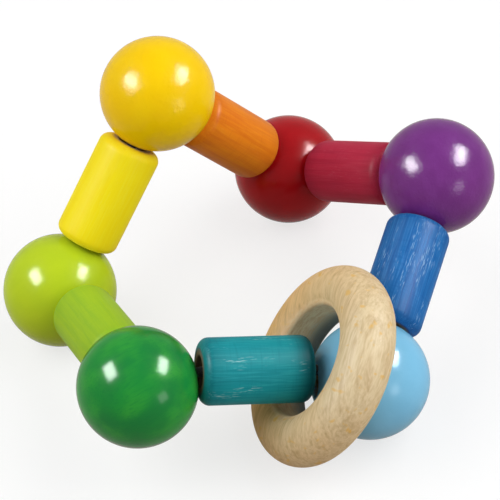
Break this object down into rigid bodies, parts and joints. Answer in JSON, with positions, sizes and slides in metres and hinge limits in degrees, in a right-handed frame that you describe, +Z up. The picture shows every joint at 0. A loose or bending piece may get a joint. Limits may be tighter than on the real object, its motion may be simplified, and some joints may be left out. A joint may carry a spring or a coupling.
{
  "type": "wooden bead grasping toy",
  "caption": "Closed loop of turned wooden balls and dowels in rainbow colours, threaded in turn on an elastic cord, with a loose wooden ring on one dowel; a springy grasping toy.",
  "frame": {"origin": "on the table, under the middle of the toy's box", "axes": "+Z up from the table that three of the balls stand on; +X to the right and +Y away in the pictured view"},
  "size_m": [0.109, 0.1074, 0.0622],
  "materials": {
    "yellow_ball": "clear gloss lacquer over colour stain",
    "orange_rod": "satin colour stain with the grain showing",
    "red_ball": "clear gloss lacquer over colour stain",
    "crimson_rod": "satin colour stain with the grain showing",
    "purple_ball": "clear gloss lacquer over colour stain",
    "cobalt_rod": "satin colour stain with the grain showing",
    "light_blue_ball": "clear gloss lacquer over colour stain",
    "teal_rod": "satin colour stain with the grain showing",
    "green_ball": "clear gloss lacquer over colour stain",
    "leaf_green_rod": "satin colour stain with the grain showing",
    "lime_ball": "clear gloss lacquer over colour stain",
    "lemon_rod": "satin colour stain with the grain showing",
    "wood_ring": "bare sanded hardwood",
    "elastic_cord": "charcoal braided elastic"
  },
  "bodies": {
    "yellow_ball": {"yellow_ball": "yellow_ball"},
    "orange_rod": {"orange_rod": "orange_rod"},
    "red_ball": {"red_ball": "red_ball"},
    "crimson_rod": {"crimson_rod": "crimson_rod"},
    "purple_ball": {"purple_ball": "purple_ball"},
    "cobalt_rod": {"cobalt_rod": "cobalt_rod"},
    "light_blue_ball": {"light_blue_ball": "light_blue_ball", "elastic_cord": "elastic_cord"},
    "teal_rod": {"teal_rod": "teal_rod"},
    "green_ball": {"green_ball": "green_ball"},
    "leaf_green_rod": {"leaf_green_rod": "leaf_green_rod"},
    "lime_ball": {"lime_ball": "lime_ball"},
    "lemon_rod": {"lemon_rod": "lemon_rod"},
    "wood_ring": {"wood_ring": "wood_ring"}
  },
  "joints": [
    {"name": "yellow_swing", "type": "hinge", "parent": "light_blue_ball", "child": "yellow_ball", "pos_m": [-0.01536, 0.02406, 0.0125], "axis": [0.8416, 0.5401, 0], "range_deg": [-15, 15], "stiffness_Nm_per_rad": 0.15, "deforming": ["elastic_cord"]},
    {"name": "purple_swing", "type": "hinge", "parent": "light_blue_ball", "child": "purple_ball", "pos_m": [0.01681, 0.00474, 0.0125], "axis": [0.1495, -0.9888, 0], "range_deg": [-15, 0], "stiffness_Nm_per_rad": 0.15, "deforming": ["elastic_cord"]},
    {"name": "green_swing", "type": "hinge", "parent": "light_blue_ball", "child": "green_ball", "pos_m": [-0.00985, -0.01237, 0.0125], "axis": [-0.8572, 0.515, 0], "range_deg": [-10, 0], "stiffness_Nm_per_rad": 0.15, "deforming": ["elastic_cord"]},
    {"name": "red_pull", "type": "slide", "parent": "light_blue_ball", "child": "red_ball", "axis": [0.2708, 0.9626, 0], "range_m": [0, 0.008], "stiffness_N_per_m": 150, "springref_m": -0.01, "deforming": ["elastic_cord"]},
    {"name": "lime_pull", "type": "slide", "parent": "light_blue_ball", "child": "lime_ball", "axis": [-0.9893, 0.1457, 0], "range_m": [0, 0.008], "stiffness_N_per_m": 150, "springref_m": -0.01, "deforming": ["elastic_cord"]},
    {"name": "orange_spin", "type": "hinge", "parent": "yellow_ball", "child": "orange_rod", "pos_m": [-0.00228, 0.033, 0.03112], "axis": [0.5552, 0.3342, -0.7616], "continuous": true},
    {"name": "lemon_spin", "type": "hinge", "parent": "yellow_ball", "child": "lemon_rod", "pos_m": [-0.02894, 0.01589, 0.03112], "axis": [0.5351, 0.3655, 0.7616], "continuous": true},
    {"name": "crimson_spin", "type": "hinge", "parent": "purple_ball", "child": "crimson_rod", "pos_m": [0.02666, 0.02486, 0.02228], "axis": [0.6284, -0.6671, 0.4002], "continuous": true},
    {"name": "cobalt_spin", "type": "hinge", "parent": "purple_ball", "child": "cobalt_rod", "pos_m": [0.03217, -0.01158, 0.02228], "axis": [-0.403, -0.8231, -0.4002], "continuous": true},
    {"name": "teal_spin", "type": "hinge", "parent": "green_ball", "child": "teal_rod", "pos_m": [-0.00119, -0.03467, 0.0214], "axis": [-0.9689, -0.1225, 0.2151], "continuous": true},
    {"name": "leaf_green_spin", "type": "hinge", "parent": "green_ball", "child": "leaf_green_rod", "pos_m": [-0.03279, -0.01508, 0.01776], "axis": [-0.3468, 0.9129, -0.2151], "continuous": true},
    {"name": "ring_slide", "type": "slide", "parent": "green_ball", "child": "wood_ring", "axis": [-0.9689, -0.1225, 0.2151], "range_m": [0, 0.016]}
  ]
}
